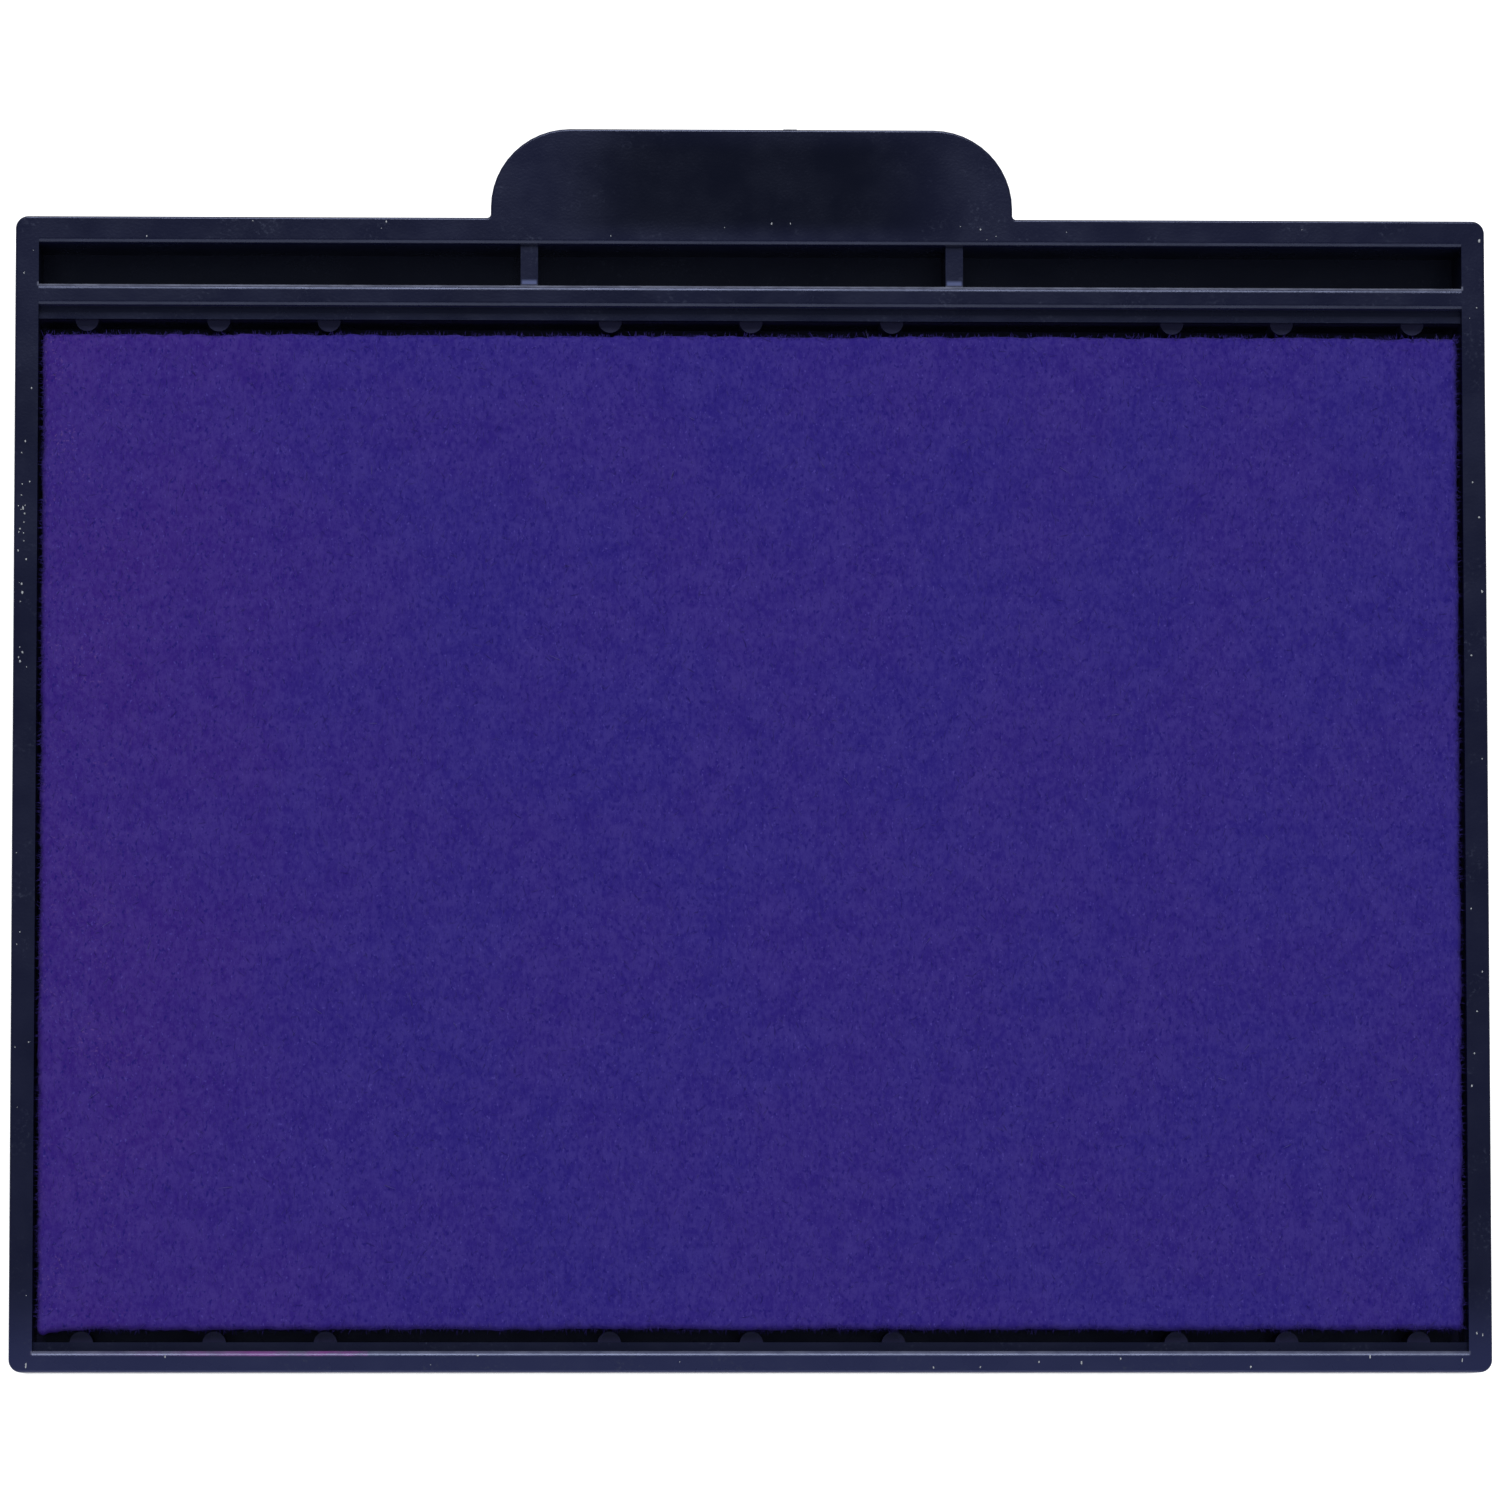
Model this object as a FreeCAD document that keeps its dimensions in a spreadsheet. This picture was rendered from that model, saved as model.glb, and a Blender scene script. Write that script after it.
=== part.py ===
import FreeCAD, Part
import Sketcher
import os

# Replacement ink cassette of a large self-inking stamp, in millimetres.
#
# The case is one moulding: a shallow open tray with a finger tab on its rear edge, a narrow
# trough behind the pad, and small crush nibs on the long walls of the well.  Two layers of
# felt lie in the well: a soft reservoir that holds the ink, and a dense face that gives it up.
#
# +Z is up and +Y points from the pad to the finger tab.  The origin is on the underside of the
# case, in the middle of its rectangle, so the tab is not counted.

# Name, millimetres, what it is.
SIZES = [
    ("case_length", 76.0, "outside of the case along X"),
    ("case_width", 59.55, "outside of the case along Y, without the tab"),
    ("case_height", 6.0, "underside of the case to the top of its rim"),
    ("corner_radius", 0.65, "outer upright corners of the case"),
    ("edge_round", 0.12, "outer edges of the rim and of the tab"),
    ("foot_round", 0.35, "edge around the underside"),
    ("floor_thickness", 1.2, "floor under the felt"),
    ("side_wall", 1.2, "thickness of the two side walls"),
    ("rear_wall", 1.4, "thickness of the wall that carries the tab"),
    ("front_wall", 1.1, "thickness of the front rim"),
    ("rim_round", 0.28, "inner edges of the long rims and both edges of the divider"),
    ("trough_width", 2.1, "inside of the trough along Y"),
    ("trough_floor", 1.4, "floor under the trough"),
    ("divider_thickness", 1.15, "top of the wall between trough and well"),
    ("ledge_drop", 0.7, "rim to the ledges of the well"),
    ("rear_ledge", 0.6, "depth along Y of the ledge below the divider"),
    ("front_ledge", 0.45, "depth along Y of the ledge below the front rim"),
    ("rib_thickness", 0.9, "ribs across the trough, along X"),
    ("rib_drop", 0.35, "rim to the top of a trough rib"),
    ("left_rib_offset", 11.5, "middle of the case to the left rib"),
    ("right_rib_offset", 10.5, "middle of the case to the right rib"),
    ("nib_diameter", 1.2, "half-round crush nibs on the long walls of the well"),
    ("nib_reach", 0.56, "how far a nib stands out of its wall"),
    ("nib_drop", 0.6, "ledge to the top of a nib"),
    ("nib_middle_pitch", 7.3, "middle nib to the next one on each side"),
    ("nib_end_inset", 2.45, "end wall of the well to the last nib"),
    ("nib_outer_pitch", 6.8, "last nib to the one before it"),
    ("nib_inner_pitch", 5.7, "that nib to the next one inwards"),
    ("tab_length", 27.0, "finger tab along X"),
    ("tab_reach", 4.65, "finger tab along Y, out from the rear wall"),
    ("tab_thickness", 1.6, "finger tab, down from the rim"),
    ("tab_corner", 4.1, "outer corners of the finger tab"),
    ("tab_side_fillet", 0.2, "upright fillets where the tab leaves the wall"),
    ("gate_offset", 2.0, "middle of the tab to the scar of the mould's gate"),
    ("gate_width", 0.7, "gate scar along X"),
    ("gate_proud", 0.08, "gate scar out from the edge of the tab"),
    ("gate_height", 0.7, "gate scar along Z"),
    ("pin_mark_diameter", 3.2, "ejector marks on the underside"),
    ("pin_mark_depth", 0.12, "depth of an ejector mark"),
    ("pin_mark_inset", 7.0, "outside of the case to the ejector marks near its corners"),
    ("felt_side_gap", 0.2, "felt to the side walls"),
    ("felt_rear_gap", 0.24, "felt to the tips of the rear nibs"),
    ("felt_front_gap", 0.09, "felt to the tips of the front nibs"),
    ("felt_drop", 0.5, "rim to the face of the felt"),
    ("felt_corner", 0.5, "upright corners of the felt"),
    ("face_thickness", 1.3, "dense upper felt"),
]

# Stations along Y, from the rear of the case to its front, and levels along Z.
CASE_REAR = "size.case_width / 2"
TAB_REAR = CASE_REAR + " + size.tab_reach"
TROUGH_REAR = CASE_REAR + " - size.rear_wall"
TROUGH_FRONT = TROUGH_REAR + " - size.trough_width"
DIVIDER_FRONT = TROUGH_FRONT + " - size.divider_thickness"
WELL_REAR = DIVIDER_FRONT + " - size.rear_ledge"
FELT_REAR = WELL_REAR + " - size.nib_reach - size.felt_rear_gap"
CASE_FRONT = "-size.case_width / 2"
RIM_FRONT = CASE_FRONT + " + size.front_wall"
WELL_FRONT = RIM_FRONT + " + size.front_ledge"
FELT_FRONT = WELL_FRONT + " + size.nib_reach + size.felt_front_gap"
RIM = "size.case_height"
LEDGE = RIM + " - size.ledge_drop"
FELT_TOP = RIM + " - size.felt_drop"
FACE_BOTTOM = FELT_TOP + " - size.face_thickness"
WELL_LENGTH = "size.case_length - 2 * size.side_wall"
FELT_LENGTH = WELL_LENGTH + " - 2 * size.felt_side_gap"

TOUCH = 1e-4  # two coordinates closer than this are the same one

doc = FreeCAD.newDocument("ink_cassette")
sheet = doc.addObject("Spreadsheet::Sheet", "size")


def fill_sheet():
    """Write the driving dimensions, one row each."""
    for row, (alias, number, meaning) in enumerate(SIZES, start=1):
        sheet.set(f"A{row}", meaning)
        sheet.set(f"B{row}", str(number))
        sheet.setAlias(f"B{row}", alias)
    doc.recompute()


def value(formula):
    """Work out a formula of the driving dimensions as a number."""
    return float(sheet.evalExpression(formula))


def make_body(label):
    """Start one sub-part."""
    body = doc.addObject("PartDesign::Body", label)
    body.Label = label
    body.Placement = FreeCAD.Placement()
    return body


def attach(body, item, middle_x, middle_y, level):
    """Attach a sketch to its body's own XY plane, moved by three formulas."""
    plane = next(feature for feature in body.Origin.OriginFeatures if feature.Role == "XY_Plane")
    item.AttachmentSupport = [(plane, "")]
    item.MapMode = "FlatFace"
    item.setExpression("AttachmentOffset.Base.x", middle_x)
    item.setExpression("AttachmentOffset.Base.y", middle_y)
    item.setExpression("AttachmentOffset.Base.z", level)


def constrain(sketch, *rule, formula=None):
    """Add one constraint, and tie its size to a formula if it has one."""
    if formula is None:
        sketch.addConstraint(Sketcher.Constraint(*rule))
        return
    index = sketch.addConstraint(Sketcher.Constraint(*rule, value(formula)))
    sketch.setExpression(f"Constraints[{index}]", formula)


def rectangle(body, name, level, length, front, rear, middle_x="0"):
    """Sketch a level rectangle of some length along X that reaches from front to rear."""
    sketch = body.newObject("Sketcher::SketchObject", name)
    attach(body, sketch, middle_x, f"({front} + {rear}) / 2", level)
    corners = [FreeCAD.Vector(x, y, 0) for x, y in ((-1, -1), (1, -1), (1, 1), (-1, 1))]
    for index, corner in enumerate(corners):
        sketch.addGeometry(Part.LineSegment(corner, corners[(index + 1) % 4]))
    for index in range(4):
        constrain(sketch, "Coincident", index, 2, (index + 1) % 4, 1)
        constrain(sketch, "Vertical" if index % 2 else "Horizontal", index)
    constrain(sketch, "Symmetric", 0, 1, 2, 1, -1, 1)
    constrain(sketch, "DistanceX", 0, 1, 0, 2, formula=length)
    constrain(sketch, "DistanceY", 1, 1, 1, 2, formula=f"{rear} - ({front})")
    return sketch


def row_of_circles(body, name, level, middle_y, diameter, offsets):
    """Sketch one circle in the middle and a pair at each distance from it, in a row along X."""
    sketch = body.newObject("Sketcher::SketchObject", name)
    attach(body, sketch, "0", middle_y, level)
    places = [(0, "0")] + [(side, offset) for offset in offsets for side in (-1, 1)]
    for side, offset in places:
        start = FreeCAD.Vector(side * value(offset), 0, 0)
        circle = sketch.addGeometry(Part.Circle(start, FreeCAD.Vector(0, 0, 1), value(diameter) / 2))
        constrain(sketch, "Diameter", circle, formula=diameter)
        constrain(sketch, "PointOnObject", circle, 3, -1)
        if side == 0:
            constrain(sketch, "PointOnObject", circle, 3, -2)
        elif side > 0:
            constrain(sketch, "DistanceX", -1, 1, circle, 3, formula=offset)
        else:
            constrain(sketch, "DistanceX", circle, 3, -1, 1, formula=offset)
    return sketch


def add(body, name, sketch, height):
    """Raise a sketch into a solid."""
    pad = body.newObject("PartDesign::Pad", name)
    pad.Profile = sketch
    pad.setExpression("Length", height)
    doc.recompute()


def cut(body, name, sketch, depth, upwards=False):
    """Sink a sketch into the solid below it, or into the solid above it."""
    volume = body.Shape.Volume
    pocket = body.newObject("PartDesign::Pocket", name)
    pocket.Profile = sketch
    pocket.Reversed = upwards
    pocket.setExpression("Length", depth)
    doc.recompute()
    if body.Shape.Volume >= volume:
        raise RuntimeError(name + " removed nothing")


def round_edges(body, name, radius, wanted):
    """Fillet every edge of the body for which wanted(edge) is true."""
    tip = body.Tip
    edges = enumerate(tip.Shape.Edges, start=1)
    chosen = [f"Edge{number}" for number, edge in edges if wanted(edge)]
    if not chosen:
        raise RuntimeError(name + " found no edge")
    fillet = body.newObject("PartDesign::Fillet", name)
    fillet.Base = (tip, chosen)
    fillet.setExpression("Radius", radius)
    doc.recompute()


def is_at(number, *formulas):
    """Tell whether a coordinate is at one of the given stations."""
    return any(abs(number - value(formula)) < TOUCH for formula in formulas)


def is_upright(edge):
    """Tell whether an edge is a straight one along Z."""
    return edge.BoundBox.XLength < TOUCH and edge.BoundBox.YLength < TOUCH


def is_level(edge, *levels):
    """Tell whether all of an edge lies at one of the given levels."""
    return edge.BoundBox.ZLength < TOUCH and is_at(edge.BoundBox.ZMin, *levels)


def is_along_x(edge, *stations):
    """Tell whether an edge is a straight one along X, at one of the given stations along Y."""
    return edge.BoundBox.YLength < TOUCH and is_at(edge.BoundBox.YMin, *stations)


def meets_wall(shape, edge):
    """Tell whether an edge borders an upright face."""
    for face in shape.ancestorsOfType(edge, Part.Face):
        low_u, high_u, low_v, high_v = face.ParameterRange
        normal = face.normalAt((low_u + high_u) / 2, (low_v + high_v) / 2)
        if abs(normal.z) < TOUCH:
            return True
    return False


def add_case_block(body):
    """The outside of the case, with its upright corners rounded."""
    outline = rectangle(body, "case_outline", "0", "size.case_length", CASE_FRONT, CASE_REAR)
    add(body, "case_block", outline, RIM)
    round_edges(body, "case_corners", "size.corner_radius", is_upright)


def add_tab(body):
    """The finger tab, level with the rim, with its rounded outline."""
    level = RIM + " - size.tab_thickness"
    outline = rectangle(body, "tab_outline", level, "size.tab_length", TROUGH_REAR, TAB_REAR)
    add(body, "tab_plate", outline, "size.tab_thickness")
    round_edges(
        body, "tab_corners", "min(size.tab_corner; size.tab_reach - 2 * size.tab_side_fillet)",
        lambda edge: is_upright(edge) and is_at(edge.BoundBox.YMin, TAB_REAR))
    round_edges(
        body, "tab_side_fillets", "size.tab_side_fillet",
        lambda edge: is_upright(edge) and is_at(edge.BoundBox.YMin, CASE_REAR)
        and is_at(abs(edge.BoundBox.XMin), "size.tab_length / 2"))


def round_outside(body):
    """Soften the outer edges of the rim and tab, and the edge around the underside."""
    top = body.Tip.Shape
    round_edges(
        body, "outer_edges", "size.edge_round",
        lambda edge: is_level(edge, RIM) and meets_wall(top, edge))
    round_edges(body, "foot", "size.foot_round", lambda edge: is_level(edge, "0"))


def cut_hollows(body):
    """The trough, the stepped mouth of the well and the well itself."""
    mouth = rectangle(body, "mouth_outline", RIM, WELL_LENGTH, RIM_FRONT, DIVIDER_FRONT)
    cut(body, "well_mouth", mouth, "size.ledge_drop")
    well = rectangle(body, "well_outline", LEDGE, WELL_LENGTH, WELL_FRONT, WELL_REAR)
    cut(body, "well", well, LEDGE + " - size.floor_thickness")
    trough = rectangle(body, "trough_outline", RIM, WELL_LENGTH, TROUGH_FRONT, TROUGH_REAR)
    cut(body, "trough", trough, RIM + " - size.trough_floor")
    round_edges(
        body, "rim_edges", "size.rim_round",
        lambda edge: is_level(edge, RIM)
        and is_along_x(edge, RIM_FRONT, DIVIDER_FRONT, TROUGH_FRONT, TROUGH_REAR))


def add_ribs(body):
    """Two upright ribs that tie the divider to the rear wall."""
    for name, middle in (("left_rib", "-size.left_rib_offset"), ("right_rib", "size.right_rib_offset")):
        outline = rectangle(
            body, name + "_outline", "size.trough_floor", "size.rib_thickness",
            TROUGH_FRONT, TROUGH_REAR, middle)
        add(body, name, outline, RIM + " - size.rib_drop - size.trough_floor")


def add_nibs(body):
    """Half-round nibs that grip the felt along both long walls of the well."""
    last = f"({WELL_LENGTH}) / 2 - size.nib_end_inset"
    third = last + " - size.nib_outer_pitch"
    second = third + " - size.nib_inner_pitch"
    offsets = ("size.nib_middle_pitch", second, third, last)
    height = LEDGE + " - size.nib_drop - size.floor_thickness"
    sunk = "(size.nib_diameter / 2 - size.nib_reach)"
    walls = (("rear_nibs", f"{WELL_REAR} + {sunk}"), ("front_nibs", f"{WELL_FRONT} - {sunk}"))
    for name, middle_y in walls:
        row = row_of_circles(
            body, name + "_outline", "size.floor_thickness", middle_y, "size.nib_diameter", offsets)
        add(body, name, row, height)


def add_mould_marks(body):
    """The scar of the gate on the tab's outer edge and the ejector marks on the underside."""
    level = RIM + " - size.tab_thickness / 2 - size.gate_height / 2"
    scar = rectangle(
        body, "gate_outline", level, "size.gate_width",
        TAB_REAR + " - size.edge_round", TAB_REAR + " + size.gate_proud", "size.gate_offset")
    add(body, "gate_scar", scar, "size.gate_height")
    offset = "size.case_length / 2 - size.pin_mark_inset"
    for name, station in (
            ("rear_pin_marks", CASE_REAR + " - size.pin_mark_inset"),
            ("front_pin_marks", CASE_FRONT + " + size.pin_mark_inset")):
        marks = row_of_circles(body, name + "_outline", "0", station, "size.pin_mark_diameter", (offset,))
        cut(body, name, marks, "size.pin_mark_depth", upwards=True)


def make_case():
    """The moulded case with its tab, trough, ribs and nibs."""
    body = make_body("cassette_case")
    add_case_block(body)
    add_tab(body)
    round_outside(body)
    cut_hollows(body)
    add_ribs(body)
    add_nibs(body)
    add_mould_marks(body)
    return body


def make_felt(label, bottom, top):
    """One layer of felt, cut to the well with a gap all round."""
    body = make_body(label)
    outline = rectangle(body, label + "_outline", bottom, FELT_LENGTH, FELT_FRONT, FELT_REAR)
    add(body, label + "_sheet", outline, f"{top} - ({bottom})")
    round_edges(body, label + "_corners", "size.felt_corner", is_upright)
    return body


def check(bodies):
    """Stop if any object failed or any sub-part is not one valid solid."""
    for item in doc.Objects:
        if "Invalid" in item.State or "Error" in item.State:
            raise RuntimeError(item.Name + " failed")
    for body in bodies:
        shape = body.Shape
        if shape.isNull() or not shape.isValid() or len(shape.Solids) != 1:
            raise RuntimeError(body.Label + " is not one valid solid")


fill_sheet()
sub_parts = [
    make_case(),
    make_felt("reservoir_felt", "size.floor_thickness", FACE_BOTTOM),
    make_felt("face_felt", FACE_BOTTOM, FELT_TOP),
]
doc.recompute()
check(sub_parts)

os.makedirs("parts", exist_ok=True)
for part in sub_parts:
    part.Shape.exportStep(f"parts/{part.Label}.step")
    box = part.Shape.optimalBoundingBox(False)
    print(f"{part.Label}: {box.XLength:.2f} x {box.YLength:.2f} x {box.ZLength:.2f} mm,"
          f" {part.Shape.Volume / 1000:.3f} cm3")
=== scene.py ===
import math

import bpy
import numpy as np
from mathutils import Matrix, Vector


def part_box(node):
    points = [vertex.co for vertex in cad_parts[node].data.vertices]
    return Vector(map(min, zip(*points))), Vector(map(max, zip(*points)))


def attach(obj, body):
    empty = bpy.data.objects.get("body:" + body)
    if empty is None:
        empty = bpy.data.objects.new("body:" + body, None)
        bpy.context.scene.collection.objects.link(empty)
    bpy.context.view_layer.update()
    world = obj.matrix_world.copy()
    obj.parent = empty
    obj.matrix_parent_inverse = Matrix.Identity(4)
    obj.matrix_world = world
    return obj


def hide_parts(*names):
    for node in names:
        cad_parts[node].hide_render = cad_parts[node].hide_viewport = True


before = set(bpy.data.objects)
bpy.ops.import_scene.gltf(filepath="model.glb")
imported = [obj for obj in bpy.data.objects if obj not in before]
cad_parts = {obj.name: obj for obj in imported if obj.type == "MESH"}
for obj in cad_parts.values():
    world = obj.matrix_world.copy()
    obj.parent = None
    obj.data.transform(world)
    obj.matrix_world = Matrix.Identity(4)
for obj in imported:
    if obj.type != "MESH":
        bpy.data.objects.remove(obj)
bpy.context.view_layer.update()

# An ink cassette seen from above.  Its moulded case comes from the CAD model.  The two layers of
# ink-soaked felt are made here as blocks with ragged edges and a nap of fibres.  Lengths are in
# metres, X runs along the long side, and Y runs from the closed front to the side that has the tab.

MM = 0.001
SEED = 20

CASE_LOW, CASE_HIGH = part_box("cassette_case")
FACE_LOW, FACE_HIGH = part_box("face_felt")
RESERVOIR_LOW, RESERVOIR_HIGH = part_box("reservoir_felt")

# Sizes of the case seen from above, and where its walls begin and end.
SIDE_RIM = 1.2 * MM
REAR_RIM = 1.4 * MM
FRONT_RIM = 1.1 * MM
TAB_REACH = 4.65 * MM
TROUGH_WIDTH = 2.1 * MM
RIM_REAR_EDGE = CASE_HIGH.y - TAB_REACH
RIM_INNER_FRONT = CASE_LOW.y + FRONT_RIM
TROUGH_FRONT = RIM_REAR_EDGE - REAR_RIM - TROUGH_WIDTH

# The middles of the two ribs in the trough, along X.
LEFT_RIB = -11.5 * MM
RIGHT_RIB = 10.5 * MM

# Flat tops of the case's four rims, as (x low, y low, x high, y high).
RIM_TOPS = {
    "left": (CASE_LOW.x, CASE_LOW.y, CASE_LOW.x + SIDE_RIM, RIM_REAR_EDGE),
    "right": (CASE_HIGH.x - SIDE_RIM, CASE_LOW.y, CASE_HIGH.x, RIM_REAR_EDGE),
    "rear": (CASE_LOW.x, RIM_REAR_EDGE - REAR_RIM, CASE_HIGH.x, RIM_REAR_EDGE),
    "front": (CASE_LOW.x, CASE_LOW.y, CASE_HIGH.x, RIM_INNER_FRONT),
}


# ---------------------------------------------------------------- materials

class Nodes:
    """Short names for the nodes that the materials are built from."""

    def __init__(self, name):
        self.material = bpy.data.materials.new(name)
        self.material.use_nodes = True
        self.tree = self.material.node_tree
        self.shader = self.tree.nodes["Principled BSDF"]
        self.place = self.add("ShaderNodeTexCoord").outputs["Object"]

    def add(self, kind, **settings):
        node = self.tree.nodes.new(kind)
        for name, value in settings.items():
            setattr(node, name, value)
        return node

    def link(self, source, target):
        self.tree.links.new(source, target)

    def set(self, **values):
        """Constant values of the shader's sockets; underscores stand for spaces."""
        for name, value in values.items():
            self.shader.inputs[name.replace("_", " ")].default_value = value

    def stretched(self, x, y, z):
        """The place on the object, scaled along each axis."""
        node = self.add("ShaderNodeVectorMath", operation="MULTIPLY")
        self.link(self.place, node.inputs[0])
        node.inputs[1].default_value = (x, y, z)
        return node.outputs[0]

    def noise(self, size, detail=2.0, roughness=0.5, stretch=(1, 1, 1)):
        """Cloudy noise whose features are about size across."""
        node = self.add("ShaderNodeTexNoise")
        node.inputs["Scale"].default_value = 1 / size
        node.inputs["Detail"].default_value = detail
        node.inputs["Roughness"].default_value = roughness
        self.link(self.stretched(*stretch), node.inputs["Vector"])
        return node.outputs["Fac"]

    def ramp(self, value, low, high, to_low=0.0, to_high=1.0):
        """Map low..high to to_low..to_high with smooth, flat ends."""
        node = self.add("ShaderNodeMapRange", interpolation_type="SMOOTHSTEP")
        self.link(value, node.inputs["Value"])
        for name, number in (
                ("From Min", low), ("From Max", high), ("To Min", to_low), ("To Max", to_high)):
            node.inputs[name].default_value = number
        return node.outputs["Result"]

    def fall(self, value, low, high):
        """1 up to low, 0 from high on, and smooth between."""
        return self.ramp(value, low, high, 1.0, 0.0)

    def maths(self, operation, *values):
        node = self.add("ShaderNodeMath", operation=operation)
        for socket, value in zip(node.inputs, values):
            if isinstance(value, (int, float)):
                socket.default_value = value
            else:
                self.link(value, socket)
        return node.outputs[0]

    def product(self, first, *others):
        for other in others:
            first = self.maths("MULTIPLY", first, other)
        return first

    def along(self, axis):
        """One coordinate of the place on the object."""
        node = self.add("ShaderNodeSeparateXYZ")
        self.link(self.place, node.inputs[0])
        return node.outputs[axis]

    def off_centre(self, axis, centre=0.0):
        """How far the place lies from centre along one axis."""
        return self.maths("ABSOLUTE", self.maths("SUBTRACT", self.along(axis), centre))

    def blend(self, factor, a, b):
        """Colour a where factor is 0 and colour b where it is 1."""
        node = self.add("ShaderNodeMix", data_type="RGBA")
        self.link(factor, node.inputs["Factor"])
        for socket, value in ((node.inputs[6], a), (node.inputs[7], b)):
            if isinstance(value, tuple):
                socket.default_value = (*value, 1)
            else:
                self.link(value, socket)
        return node.outputs[2]

    def bump(self, height, depth, normal=None):
        """A bump of the given depth, on top of another one if it is given."""
        node = self.add("ShaderNodeBump")
        node.inputs["Distance"].default_value = depth
        self.link(height, node.inputs["Height"])
        if normal is not None:
            self.link(normal, node.inputs["Normal"])
        return node.outputs["Normal"]


# Colours of the case, of what has worn it or dried on it, and of the light and shade painted on it.
NAVY = (0.0024, 0.0030, 0.0172)
PALER_NAVY = (0.0040, 0.0048, 0.0217)
# Painted sheen of the paler front end.
PAINTED_FRONT_SHEEN = (0.0172, 0.0205, 0.0668)
# Painted shade of the tab's middle.
PAINTED_TAB_SHADE = (0.0003, 0.0007, 0.0060)
SCUFF = (0.040, 0.046, 0.080)
# Painted highlight where the ribs meet the divider.
PAINTED_RIB_HIGHLIGHT = (0.100, 0.120, 0.250)
# Painted light in the deep gaps of the well.
PAINTED_GAP_LIGHT = (0.030, 0.026, 0.085)
# Painted highlight on the rounded edges that face the tab.
PAINTED_EDGE_HIGHLIGHT = (0.190, 0.205, 0.290)
MAGENTA_INK = (0.22, 0.045, 0.25)


def case_plastic():
    """Navy moulded plastic: satin grain, scuffs, a smooth tab, dried ink, and painted light: a paler
    front, a darker tab middle, pale edges and rib ends as highlights, and paler deep gaps.
    """
    n = Nodes("case_plastic")
    cloud = n.ramp(n.noise(6 * MM, 3), 0.35, 0.65)
    colour = n.blend(cloud, NAVY, PALER_NAVY)

    # The front end is painted paler on top, most of all along the front rim: a painted sheen where the
    # flats catch more light towards the front.
    at_top = n.ramp(n.along("Z"), CASE_HIGH.z - 0.45 * MM, CASE_HIGH.z - 0.2 * MM)
    front_end = n.fall(n.along("Y"), CASE_LOW.y, CASE_LOW.y + 5 * MM)
    colour = n.blend(n.product(front_end, at_top), colour, PAINTED_FRONT_SHEEN)

    # The middle of the tab is smooth, and painted darker: a painted shade.
    inside = n.fall(n.off_centre("X"), 5.0 * MM, 12.0 * MM)
    above = n.ramp(n.along("Y"), RIM_REAR_EDGE - REAR_RIM, RIM_REAR_EDGE)
    below = n.ramp(n.along("Y"), CASE_HIGH.y - 1.5 * MM, CASE_HIGH.y, 1.0, 0.5)
    polished_and_shaded = n.product(inside, above, below)
    colour = n.blend(polished_and_shaded, colour, PAINTED_TAB_SHADE)

    # Fine hazy scuffs, but hardly any where fingers have polished the tab.
    scuff = n.ramp(n.noise(0.22 * MM, 4, 0.7), 0.52, 0.80)
    patches = n.ramp(n.noise(2.2 * MM, 2), 0.48, 0.68)
    unpolished = n.maths("SUBTRACT", 1.0, n.maths("MULTIPLY", polished_and_shaded, 0.85))
    colour = n.blend(n.product(scuff, patches, unpolished), colour, SCUFF)

    # The ribs are painted pale where they meet the divider: a painted highlight on the rounded join.
    on_left_rib = n.fall(n.off_centre("X", LEFT_RIB), 0.32 * MM, 0.45 * MM)
    on_right_rib = n.fall(n.off_centre("X", RIGHT_RIB), 0.32 * MM, 0.45 * MM)
    beyond = n.ramp(n.along("Y"), TROUGH_FRONT - 0.02 * MM, TROUGH_FRONT + 0.02 * MM)
    near = n.fall(n.along("Y"), TROUGH_FRONT + 0.10 * MM, TROUGH_FRONT + 0.30 * MM)
    up_high = n.ramp(n.along("Z"), CASE_HIGH.z - 0.7 * MM, CASE_HIGH.z - 0.5 * MM)
    rib_highlight = n.product(n.maths("ADD", on_left_rib, on_right_rib), beyond, near, up_high)
    colour = n.blend(rib_highlight, colour, PAINTED_RIB_HIGHLIGHT)

    # The floor and walls of the well, below its ledges, are painted paler and violet: painted light
    # standing in for the glow seen in the deep gaps.
    below_ledges = n.fall(n.along("Z"), CASE_HIGH.z - 1.6 * MM, CASE_HIGH.z - 1.0 * MM)
    above_base = n.ramp(n.along("Z"), 0.5 * MM, 0.9 * MM)
    inside_x = n.fall(n.off_centre("X"), CASE_HIGH.x - 0.8 * MM, CASE_HIGH.x - 0.4 * MM)
    inside_front = n.ramp(n.along("Y"), CASE_LOW.y + 0.6 * MM, CASE_LOW.y + 1.0 * MM)
    inside_rear = n.fall(n.along("Y"), TROUGH_FRONT - 1.4 * MM, TROUGH_FRONT - 0.9 * MM)
    gap_light = n.product(below_ledges, above_base, inside_x, inside_front, inside_rear)
    colour = n.blend(gap_light, colour, PAINTED_GAP_LIGHT)

    # The rounded edges that face the tab are painted pale, unevenly: a painted highlight of the bright
    # box behind.
    for edge, strength in ((TROUGH_FRONT, 1.0), (RIM_INNER_FRONT, 0.6)):
        on_edge = n.fall(n.off_centre("Y", edge - 0.10 * MM), 0.07 * MM, 0.13 * MM)
        uneven = n.ramp(n.noise(0.9 * MM, 4), 0.30, 0.70, 0.55, 1.0)
        within = n.fall(n.off_centre("X"), CASE_HIGH.x - SIDE_RIM, CASE_HIGH.x - 0.9 * SIDE_RIM)
        edge_highlight = n.product(on_edge, uneven, within, at_top, strength)
        colour = n.blend(edge_highlight, colour, PAINTED_EDGE_HIGHLIGHT)

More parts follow.
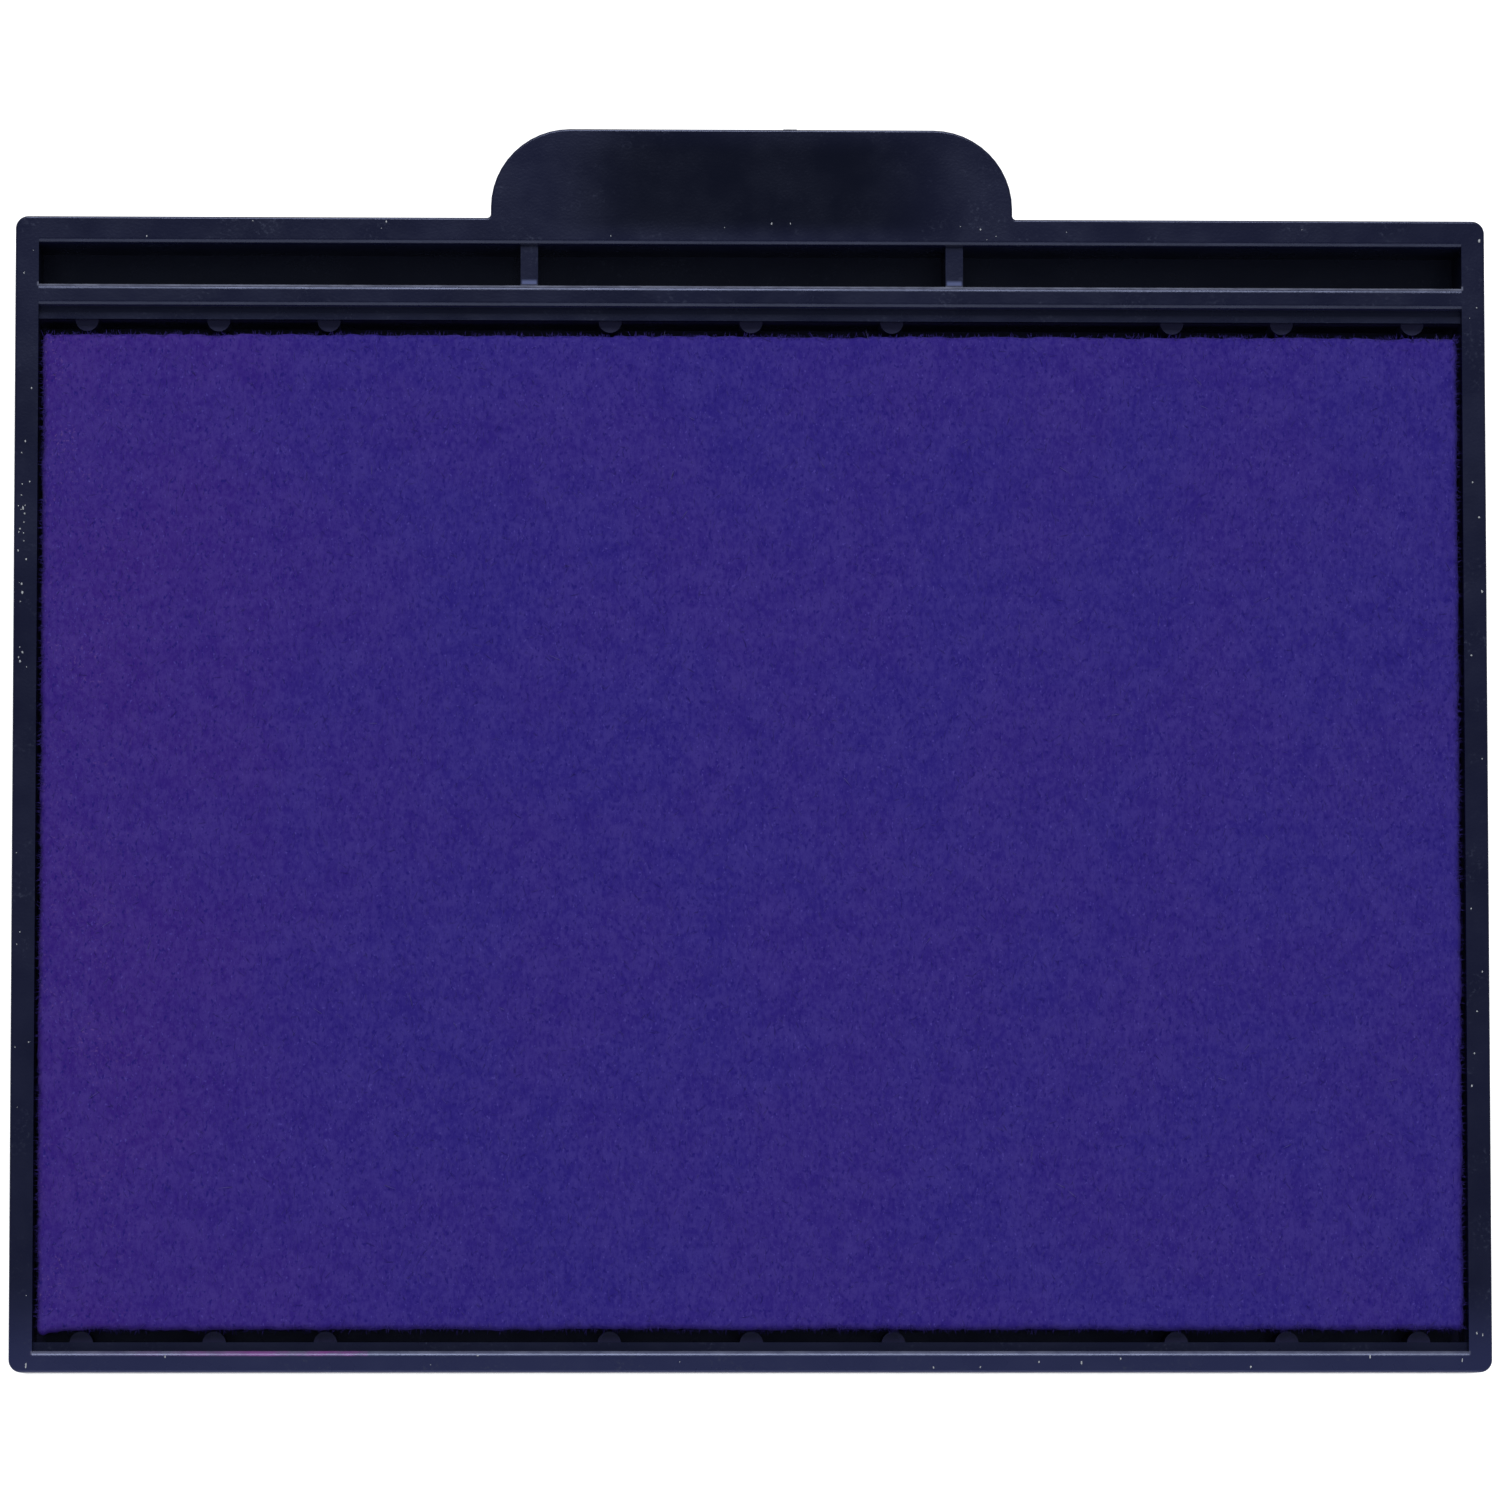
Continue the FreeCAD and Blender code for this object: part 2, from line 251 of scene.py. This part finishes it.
    # Magenta ink has dried on part of the front rim's inner edge.
    at_edge = n.fall(n.off_centre("Y", RIM_INNER_FRONT - 0.12 * MM), 0.10 * MM, 0.17 * MM)
    off_side_rim = n.fall(n.off_centre("X"), CASE_HIGH.x - SIDE_RIM, CASE_HIGH.x - 0.8 * SIDE_RIM)
    stain_right = n.fall(n.along("X"), -19.75 * MM, -19.6 * MM)
    stain_left = n.ramp(n.along("X"), -34 * MM, -21.5 * MM, 0.05, 0.9)
    blots = n.ramp(n.noise(1.3 * MM, 3), 0.35, 0.60, 0.15, 1.0)
    stain = n.product(at_edge, stain_right, stain_left, blots, at_top, off_side_rim)
    colour = n.blend(stain, colour, MAGENTA_INK)

    n.link(colour, n.shader.inputs["Base Color"])
    rough = n.ramp(n.noise(2.5 * MM, 4), 0.3, 0.7, 0.25, 0.34)
    rough = n.maths("SUBTRACT", rough, n.maths("MULTIPLY", polished_and_shaded, 0.11))
    n.link(rough, n.shader.inputs["Roughness"])
    n.set(Specular_Tint=(0.54, 0.61, 0.92, 1))
    grain = n.bump(n.noise(0.14 * MM, 3), 0.006 * MM)
    n.link(n.bump(n.noise(3 * MM, 2), 0.03 * MM, grain), n.shader.inputs["Normal"])
    return n.material


# How much of each colour is left in a pit of the felt, where shade is painted, and how much a fleck adds
# to each as a painted glint.
PIT_SHADE = (0.70, 0.65, 0.86)
FLECK_GLINT = (0.036, 0.028, 0.100)
LINT = (0.120, 0.065, 0.250)

# The felt's grain is drawn out along Y, the way its nap lies.
ALONG_NAP = (1, 0.6, 1)


def felt(name, dark, light, redder):
    """Ink-soaked felt: fine mottling with a nap along Y, pits painted dark as shade, pale flecks painted
    as glints, and soft clouds.
    """
    n = Nodes(name)
    mottle = n.noise(0.20 * MM, 4, 0.68, stretch=ALONG_NAP)
    clouds = n.noise(1.3 * MM, 5, 0.66)
    mix = n.maths("ADD", n.maths("MULTIPLY", mottle, 0.66), n.maths("MULTIPLY", clouds, 0.34))
    tone = n.ramp(mix, 0.36, 0.64)
    plain = n.blend(tone, dark, light)
    half_step = [(high - low) / 2 for low, high in zip(dark, light)]
    red_dark = tuple(c - h for c, h in zip(redder, half_step))
    red_light = tuple(c + h for c, h in zip(redder, half_step))

    # The ink is redder towards the left and, faintly, in patches.
    left = n.ramp(n.along("X"), FACE_LOW.x, FACE_LOW.x + 22 * MM, 0.75, 0.0)
    patches = n.ramp(n.noise(7 * MM, 3), 0.35, 0.65, 0.0, 0.30)
    colour = n.blend(n.maths("ADD", left, patches), plain, n.blend(tone, red_dark, red_light))

    # Pinkish lint has gathered near the left edge.
    lint = n.ramp(n.noise(0.16 * MM, 2, 0.6), 0.58, 0.72)
    near_left = n.fall(n.along("X"), FACE_LOW.x + 0.5 * MM, FACE_LOW.x + 7 * MM)
    gathered = n.ramp(n.noise(3 * MM, 2), 0.42, 0.62, 0.1, 0.8)
    colour = n.blend(n.product(lint, near_left, gathered), colour, LINT)

    # Pits between the fibres are painted dark as shade, and pale flecks on them are painted glints.
    pits = n.fall(n.noise(0.15 * MM, 2, 0.5, stretch=ALONG_NAP), 0.30, 0.40)
    shaded_pit = tuple(c * share for c, share in zip(dark, PIT_SHADE))
    colour = n.blend(n.maths("MULTIPLY", pits, 0.85), colour, shaded_pit)
    glint_flecks = n.ramp(n.noise(0.12 * MM, 1, 0.5, stretch=ALONG_NAP), 0.66, 0.78)
    glint_colour = tuple(c + glint for c, glint in zip(light, FLECK_GLINT))
    colour = n.blend(n.maths("MULTIPLY", glint_flecks, 0.7), colour, glint_colour)

    n.link(colour, n.shader.inputs["Base Color"])
    n.set(Roughness=0.95, Specular_IOR_Level=0.2)
    fine = n.bump(mottle, 0.015 * MM)
    n.link(n.bump(pits, -0.006 * MM, fine), n.shader.inputs["Normal"])
    return n.material


def fibre(name, colour):
    """One strand of felt, with ink lying unevenly along it."""
    n = Nodes(name)
    n.set(Base_Color=(*colour, 1), Specular_IOR_Level=0.3)
    n.link(n.ramp(n.noise(0.2 * MM, 3), 0.3, 0.7, 0.6, 0.95), n.shader.inputs["Roughness"])
    n.link(n.bump(n.noise(0.03 * MM, 2), 0.003 * MM), n.shader.inputs["Normal"])
    return n.material


# ---------------------------------------------------------------- mesh helpers

class Waves:
    """A smooth random surface over the XY plane, between -1 and 1, with bumps about size apart."""

    LATTICE = 512

    def __init__(self, rng, size):
        self.size = size
        self.heights = rng.uniform(-1, 1, (self.LATTICE, self.LATTICE))

    def at(self, x, y):
        u = np.asarray(x) / self.size
        v = np.asarray(y) / self.size
        i = np.floor(u).astype(int)
        j = np.floor(v).astype(int)
        s = u - i
        t = v - j
        s = s * s * (3 - 2 * s)
        t = t * t * (3 - 2 * t)

        def corner(di, dj):
            return self.heights[(i + di) % self.LATTICE, (j + dj) % self.LATTICE]

        near = corner(0, 0) * (1 - s) + corner(1, 0) * s
        far = corner(0, 1) * (1 - s) + corner(1, 1) * s
        return near * (1 - t) + far * t


def make_piece(name, points, faces, material, smooth=True):
    """A mesh that belongs to the one rigid body of the part."""
    data = bpy.data.meshes.new(name)
    data.from_pydata(points.tolist(), [], faces.tolist() if hasattr(faces, "tolist") else faces)
    data.polygons.foreach_set("use_smooth", [smooth] * len(data.polygons))
    data.materials.append(material)
    data.update()
    piece = bpy.data.objects.new(name, data)
    bpy.context.scene.collection.objects.link(piece)
    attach(piece, "root")
    return piece


# ---------------------------------------------------------------- the two layers of felt

class Relief:
    """Waves of several sizes added up, each with its own depth."""

    def __init__(self, rng, sizes_and_depths):
        self.layers = [(Waves(rng, size), depth) for size, depth in sizes_and_depths]

    def at(self, x, y):
        return sum(depth * waves.at(x, y) for waves, depth in self.layers)


# Turns, in degrees, at which points follow the curve of a felt's edge.
ROLL_TURNS = (0, 22, 40, 57, 74)

# The outline's wandering fades with the depth from the edge, and stops at its reach.
SWAY_FADE = 0.7 * MM
SWAY_REACH = 2 * MM

# The sag of the front left corner starts near the end of the half length, and fades with Y.
SAG_SLOPE = 12
SAG_ONSET = 11.2
SAG_FADE = 1.5 * MM

# How far down a felt's side each ring of its points lies, from 0 at the top to 1.
SIDE_LEVELS = (0.3, 0.65, 1.0)

# A point further out than this share of the felt's length or width is on a side of it.
SIDE_ZONE = 0.49
SIDE_TUCK = 0.03 * MM


def spread(low, high, roll, spacing):
    """Places across a felt: close together where its edge rolls off, and even between."""
    near = roll * (1 - np.cos(np.radians(ROLL_TURNS)))
    count = int(round((high - low - 2 * roll) / spacing)) + 1
    return np.concatenate([low + near, np.linspace(low + roll, high - roll, count), high - near[::-1]])


def rounded_corners(x, y, low, high, corner):
    """Squeeze a rectangular grid's corners into quarter circles; also give the depth from the edge."""
    centre = (low + high) / 2
    half = (high - low) / 2
    from_x = np.abs(x - centre.x)
    from_y = np.abs(y - centre.y)
    a = np.clip((from_x - (half.x - corner)) / corner, 0, None)
    b = np.clip((from_y - (half.y - corner)) / corner, 0, None)
    in_corner = (a > 0) & (b > 0)
    round_a = np.where(in_corner, a * np.sqrt(1 - b * b / 2), a)
    round_b = np.where(in_corner, b * np.sqrt(1 - a * a / 2), b)
    new_x = np.where(in_corner, half.x - corner + corner * round_a, from_x)
    new_y = np.where(in_corner, half.y - corner + corner * round_b, from_y)
    from_arc = corner * (1 - np.hypot(round_a, round_b))
    from_side = np.minimum(half.x - from_x, half.y - from_y)
    depth = np.where(in_corner, from_arc, from_side)
    x = centre.x + np.sign(x - centre.x) * new_x
    y = centre.y + np.sign(y - centre.y) * new_y
    return x, y, np.clip(depth, 0, None)


def make_felt(name, node, low, high, spacing, roll, corner, relief, ragged, material, bulge=0.0):
    """A block of felt with a heaving top, an edge that rolls off, and ragged sides."""
    xs = spread(low.x, high.x, roll, spacing)
    ys = spread(low.y, high.y, roll, spacing)
    x, y = np.meshgrid(xs, ys, indexing="ij")
    x, y, depth = rounded_corners(x, y, low, high, corner)
    fall = np.clip(roll - depth, 0, roll)
    z = high.z - (roll - np.sqrt(roll * roll - fall * fall)) + relief.at(x, y)

    # The outline wanders, and wanders less and less further in.
    loose = np.exp(-depth / SWAY_FADE)
    middle = (low + high) / 2
    side_x = np.sign(x - middle.x)
    side_y = np.sign(y - middle.y)
    sway_x = loose * ragged.at(y, 20 * MM * side_x) * side_x
    sway_y = loose * ragged.at(x, 30 * MM * side_y) * side_y
    x = x + np.where(np.abs(x - middle.x) > (high.x - low.x) / 2 - SWAY_REACH, sway_x, 0)
    y = y + np.where(np.abs(y - middle.y) > (high.y - low.y) / 2 - SWAY_REACH, sway_y, 0)

    # The front left corner sags outwards a little.
    sag = np.clip((middle.x - x) / (high.x - middle.x) * SAG_SLOPE - SAG_ONSET, 0, 1)
    y = y - bulge * sag * np.exp((low.y - y) / SAG_FADE) * (y < middle.y)

    columns, rows = x.shape
    points = [np.stack([x.ravel(), y.ravel(), z.ravel()], axis=1)]
    index = np.arange(columns * rows).reshape(columns, rows)
    faces = np.stack(
        [index[:-1, :-1], index[1:, :-1], index[1:, 1:], index[:-1, 1:]], axis=-1).reshape(-1, 4).tolist()

    # Ragged rings of points hang from the top's rim, and a fan of triangles closes the underside.
    rim = np.concatenate([index[:-1, 0], index[-1, :-1], index[:0:-1, -1], index[0, :0:-1]])
    edge = points[0][rim]
    outward = edge[:, :2] - np.array([middle.x, middle.y])
    outward = outward / np.array([high.x - low.x, high.y - low.y])
    outward = np.where(np.abs(outward) > SIDE_ZONE, np.sign(outward), 0)
    above = rim
    total = columns * rows
    for level in SIDE_LEVELS:
        ring = edge.copy()
        ring[:, 2] = edge[:, 2] * (1 - level) + low.z * level
        bristle = 0.5 * ragged.at(edge[:, 0] + edge[:, 1] + level, edge[:, 2] + 7 * level)
        ring[:, :2] += outward * (bristle - SIDE_TUCK)[:, None]
        points.append(ring)
        below = np.arange(len(rim)) + total
        total += len(rim)
        faces += np.stack([above, below, np.roll(below, -1), np.roll(above, -1)], axis=1).tolist()
        above = below
    points.append(np.array([[middle.x, middle.y, low.z]]))
    faces += [[int(b), int(a), total] for a, b in zip(above, np.roll(above, -1))]

    piece = make_piece(name, np.concatenate(points), faces, material)
    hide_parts(node)
    return piece


# ---------------------------------------------------------------- the nap

# How deep the fibres are rooted in the felt.
ROOT_DEPTH = 0.02 * MM


def make_fibres(name, roots, headings, lengths, widths, lift, tip_rise, material):
    """Closed three-sided strands that leave their roots, arch over, and taper to a point."""
    count = len(roots)
    flat = np.stack([np.cos(headings), np.sin(headings), np.zeros(count)], axis=1)
    side = np.stack([-np.sin(headings), np.cos(headings), np.zeros(count)], axis=1)
    up = np.array([0.0, 0.0, 1.0])
    # Along each strand: the share of its length, its height there, and the share of its width.
    steps = (
        (0.0, -ROOT_DEPTH * np.ones(count), 1.0),
        (0.5, lift, 0.8),
        (1.0, tip_rise, 0.35),
    )
    corners = np.radians([90, 210, 330])
    rings = []
    for share, height, thickness in steps:
        centre = roots + flat * (lengths * share)[:, None] + up * height[:, None]
        reach = (widths * thickness / 2)[:, None]
        for angle in corners:
            rings.append(centre + reach * (math.cos(angle) * side + math.sin(angle) * up))
    points = np.stack(rings, axis=1).reshape(-1, 3)

    # Each end of a strand is one triangle, and each side of its two stretches is two.
    pattern = [(2, 1, 0), (6, 7, 8)]
    for ring in (0, 3):
        for a, b in ((0, 1), (1, 2), (2, 0)):
            pattern.append((ring + a, ring + b, ring + 3 + b))
            pattern.append((ring + a, ring + 3 + b, ring + 3 + a))
    starts = np.arange(count)[:, None, None] * (3 * len(steps))
    faces = (np.array(pattern)[None] + starts).reshape(-1, 3)
    return make_piece(name, points, faces, material)


def make_nap(name, rng, count, relief, material):
    """Fibres that lie on the felt's top, mostly along Y."""
    inset = 0.35 * MM
    x = rng.uniform(FACE_LOW.x + inset, FACE_HIGH.x - inset, count)
    y = rng.uniform(FACE_LOW.y + inset, FACE_HIGH.y - inset, count)
    roots = np.stack([x, y, FACE_HIGH.z + relief.at(x, y)], axis=1)
    headings = np.radians(rng.normal(90, 36, count)) + math.pi * rng.integers(0, 2, count)
    lengths = rng.uniform(0.15, 0.60, count) * MM
    widths = rng.uniform(0.018, 0.036, count) * MM
    lift = rng.uniform(-0.004, 0.02, count) * MM
    tip = rng.uniform(-0.02, 0.015, count) * MM
    return make_fibres(name, roots, headings, lengths, widths, lift, tip, material)


def make_edge_fuzz(name, rng, count, material):
    """Short fibres that stick out all round the felt's upper edge."""
    size = FACE_HIGH - FACE_LOW
    place = rng.uniform(0, 2 * (size.x + size.y), count)
    shallowest = 0.02
    deepest = 0.42
    drop = rng.uniform(shallowest, deepest, count) * MM
    inset = 0.04 * MM + 0.5 * (deepest * MM - drop)
    roots = np.empty((count, 3))
    headings = np.empty(count)
    starts = (0, size.x, size.x + size.y, 2 * size.x + size.y)
    for side in range(4):
        length = size.x if side % 2 == 0 else size.y
        chosen = (place >= starts[side]) & (place < starts[side] + length)
        along = place[chosen] - starts[side]
        inwards = inset[chosen]
        if side == 0:
            roots[chosen, 0] = FACE_LOW.x + along
            roots[chosen, 1] = FACE_LOW.y + inwards
        elif side == 1:
            roots[chosen, 0] = FACE_HIGH.x - inwards
            roots[chosen, 1] = FACE_LOW.y + along
        elif side == 2:
            roots[chosen, 0] = FACE_HIGH.x - along
            roots[chosen, 1] = FACE_HIGH.y - inwards
        else:
            roots[chosen, 0] = FACE_LOW.x + inwards
            roots[chosen, 1] = FACE_HIGH.y - along
        headings[chosen] = math.radians(90 * side - 90)
    roots[:, 2] = FACE_HIGH.z - drop
    headings += np.radians(rng.normal(0, 38, count))
    lengths = rng.uniform(0.12, 0.38, count) * MM
    widths = rng.uniform(0.022, 0.045, count) * MM
    lift = rng.uniform(-0.03, 0.05, count) * MM
    tip = rng.uniform(-0.12, 0.05, count) * MM
    return make_fibres(name, roots, headings, lengths, widths, lift, tip, material)


def make_strays(name, rng, relief, material):
    """A few pale hairs: three reach over the rear gap and the rest lie on the felt."""
    over_gap = np.array([-4.6, 6.1, 35.5]) * MM
    few = len(over_gap)
    loose = 46
    margin = 2 * MM
    x = np.concatenate([over_gap, rng.uniform(FACE_LOW.x + margin, FACE_HIGH.x - margin, loose)])
    rear_y = np.full(few, FACE_HIGH.y - 0.35 * MM)
    y = np.concatenate([rear_y, rng.uniform(FACE_LOW.y + margin, FACE_HIGH.y - margin, loose)])
    z = FACE_HIGH.z + relief.at(x, y) + 0.02 * MM
    z[:few] -= 0.12 * MM
    roots = np.stack([x, y, z], axis=1)
    headings = np.radians(np.concatenate([[78, 105, 84], rng.uniform(0, 360, loose)]))
    lengths = np.concatenate([[0.62, 0.7, 0.6], rng.uniform(0.25, 0.7, loose)]) * MM
    widths = np.full(few + loose, 0.03) * MM
    lift = np.full(few + loose, 0.07) * MM
    tip = np.full(few + loose, 0.03) * MM
    return make_fibres(name, roots, headings, lengths, widths, lift, tip, material)


# ---------------------------------------------------------------- dust

def scatter(rng, area, count):
    """Random places in an area, given as (x low, y low, x high, y high)."""
    x = rng.uniform(area[0], area[2], count)
    y = rng.uniform(area[1], area[3], count)
    return np.stack([x, y], axis=1)


# Burrs left by knocks near the corners, in mm: x, y and the length along Y.
NICKS = (
    (-37.1, -29.42, 0.30), (36.45, -29.15, 0.26), (31.7, -28.98, 0.22),
    (37.2, -27.75, 0.20), (37.5, -27.85, 0.16), (37.72, 28.75, 0.24),
)


def make_dust(name, rng, material):
    """Small pale flakes on the rims, thickest halfway up the left one, and the burrs of knocks."""
    margin = 0.22 * MM
    spots = []
    for side, count in (("left", 16), ("right", 12), ("rear", 14), ("front", 10)):
        x_low, y_low, x_high, y_high = RIM_TOPS[side]
        area = (x_low + margin, y_low + margin, x_high - margin, y_high - margin)
        spots.append(scatter(rng, area, count))
    # Two stretches of the left rim have more: Y low and high and the reach inwards, in mm.
    for y_low, y_high, reach_in, count in ((12.2, 15.5, 0.60, 11), (6.2, 12.2, 0.75, 9)):
        crowded = (CASE_LOW.x + margin, y_low * MM, CASE_LOW.x + reach_in * MM, y_high * MM)
        spots.append(scatter(rng, crowded, count))
    spots.append(np.array([(x, y) for x, y, length in NICKS]) * MM)
    spots = np.concatenate(spots)
    count = len(spots)

    # Each flake is an uneven double pyramid: five corners round its middle, a top and a bottom.
    sides = 5
    turn = np.radians(np.arange(sides) * 360 / sides)
    size = rng.uniform(0.026, 0.066, count)[:, None] * MM
    reach = size * rng.uniform(0.5, 1.2, (count, sides))
    spin = rng.uniform(0, 2 * math.pi, count)[:, None]
    stretch = rng.uniform(0.8, 1.8, (count, 1))
    stretch[-len(NICKS):, 0] = [length * MM / 2 for x, y, length in NICKS] / size[-len(NICKS):, 0]
    ring_x = spots[:, :1] + reach * np.cos(turn + spin)
    ring_y = spots[:, 1:] + reach * np.sin(turn + spin) * stretch
    ring_z = CASE_HIGH.z + size * rng.uniform(0.2, 0.5, (count, sides))
    ring = np.stack([ring_x, ring_y, ring_z], axis=2)
    top = np.concatenate([spots, CASE_HIGH.z + size * 0.9], axis=1)[:, None]
    bottom = np.concatenate([spots, CASE_HIGH.z - size * 0.1], axis=1)[:, None]
    points = np.concatenate([ring, top, bottom], axis=1).reshape(-1, 3)
    pattern = []
    for k in range(sides):
        after = (k + 1) % sides
        pattern += [(k, after, sides), (after, k, sides + 1)]
    starts = np.arange(count)[:, None, None] * (sides + 2)
    faces = (np.array(pattern)[None] + starts).reshape(-1, 3)
    return make_piece(name, points, faces, material, smooth=False)


# ---------------------------------------------------------------- the stage

def make_stage():
    """A plain white table top, a hair below the part so that the two never coincide."""
    bpy.ops.mesh.primitive_plane_add(size=12.0, location=(0, 0, -0.02 * MM))
    floor = bpy.context.object
    floor.name = "floor"
    n = Nodes("floor_white")
    n.set(Base_Color=(0.9, 0.9, 0.9, 1), Roughness=0.8)
    n.set(Emission_Color=(1, 1, 1, 1), Emission_Strength=0.78)
    floor.data.materials.append(n.material)


def make_light(name, place, size, power):
    """A soft box of the given width and height that faces the origin."""
    data = bpy.data.lights.new(name, "AREA")
    data.shape = "RECTANGLE"
    data.size, data.size_y = size
    data.energy = power
    light = bpy.data.objects.new(name, data)
    light.location = place
    light.rotation_euler = (Vector((0, 0, 0)) - Vector(place)).to_track_quat("-Z", "Y").to_euler()
    bpy.context.scene.collection.objects.link(light)


def make_lights():
    """A bright box high behind the object, a weaker one in front, and dim surroundings."""
    make_light("light_rear", (0, 0.69, 0.776), (0.30, 0.55), 7.2)
    make_light("light_front", (0, -0.79, 0.62), (0.5, 1.2), 3.4)
    world = bpy.data.worlds.new("surroundings")
    world.use_nodes = True
    world.node_tree.nodes["Background"].inputs["Color"].default_value = (0.9, 0.95, 1.0, 1)
    world.node_tree.nodes["Background"].inputs["Strength"].default_value = 0.23
    bpy.context.scene.world = world
    bpy.context.scene.view_settings.view_transform = "Standard"


def make_camera():
    """A long lens almost straight above, a little in front of the object and to its left."""
    data = bpy.data.cameras.new("camera")
    data.sensor_width = 36.0
    data.lens = 207.8
    data.clip_start = 0.01
    camera = bpy.data.objects.new("camera", data)
    camera.location = (-13.2 * MM, -34.0 * MM, 450 * MM)
    camera.rotation_euler = (math.radians(4.658), math.radians(-1.688), math.radians(-0.02))
    bpy.context.scene.collection.objects.link(camera)
    bpy.context.scene.camera = camera


# ---------------------------------------------------------------- putting it together

rng = np.random.default_rng(SEED)

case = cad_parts["cassette_case"]
case.data.materials.clear()
case.data.materials.append(case_plastic())

face_relief = Relief(rng, ((9 * MM, 0.05 * MM), (2.2 * MM, 0.025 * MM), (0.6 * MM, 0.022 * MM)))
face_outline = Relief(rng, ((4 * MM, 0.03 * MM), (1.1 * MM, 0.03 * MM), (0.33 * MM, 0.05 * MM)))
inked = felt(
    "inked_felt", dark=(0.0194, 0.0102, 0.191), light=(0.0414, 0.0280, 0.234),
    redder=(0.0420, 0.0176, 0.205))
make_felt(
    "inked_felt_face", "face_felt", FACE_LOW, FACE_HIGH,
    spacing=0.215 * MM, roll=0.36 * MM, corner=0.30 * MM, relief=face_relief, ragged=face_outline,
    material=inked, bulge=0.32 * MM)

still = Relief(rng, ((3 * MM, 0.0),))
reservoir_outline = Relief(rng, ((3 * MM, 0.05 * MM), (0.6 * MM, 0.04 * MM)))
soaked = felt(
    "reservoir_felt", dark=(0.012, 0.008, 0.080), light=(0.020, 0.013, 0.115),
    redder=(0.022, 0.010, 0.100))
make_felt(
    "reservoir_felt_block", "reservoir_felt", RESERVOIR_LOW, RESERVOIR_HIGH,
    spacing=0.6 * MM, roll=0.12 * MM, corner=0.5 * MM, relief=still, ragged=reservoir_outline,
    material=soaked)

make_nap("nap_light", rng, 14000, face_relief, fibre("fibre_light", (0.0515, 0.0353, 0.269)))
make_nap("nap_dark", rng, 12000, face_relief, fibre("fibre_dark", (0.0170, 0.0082, 0.172)))
make_edge_fuzz("edge_fuzz", rng, 5200, fibre("fibre_edge", (0.031, 0.018, 0.202)))
make_strays("stray_hairs", rng, face_relief, fibre("fibre_pale", (0.10, 0.09, 0.30)))
make_dust("dust", rng, fibre("dust_pale", (0.42, 0.44, 0.48)))

make_camera()
make_lights()
make_stage()
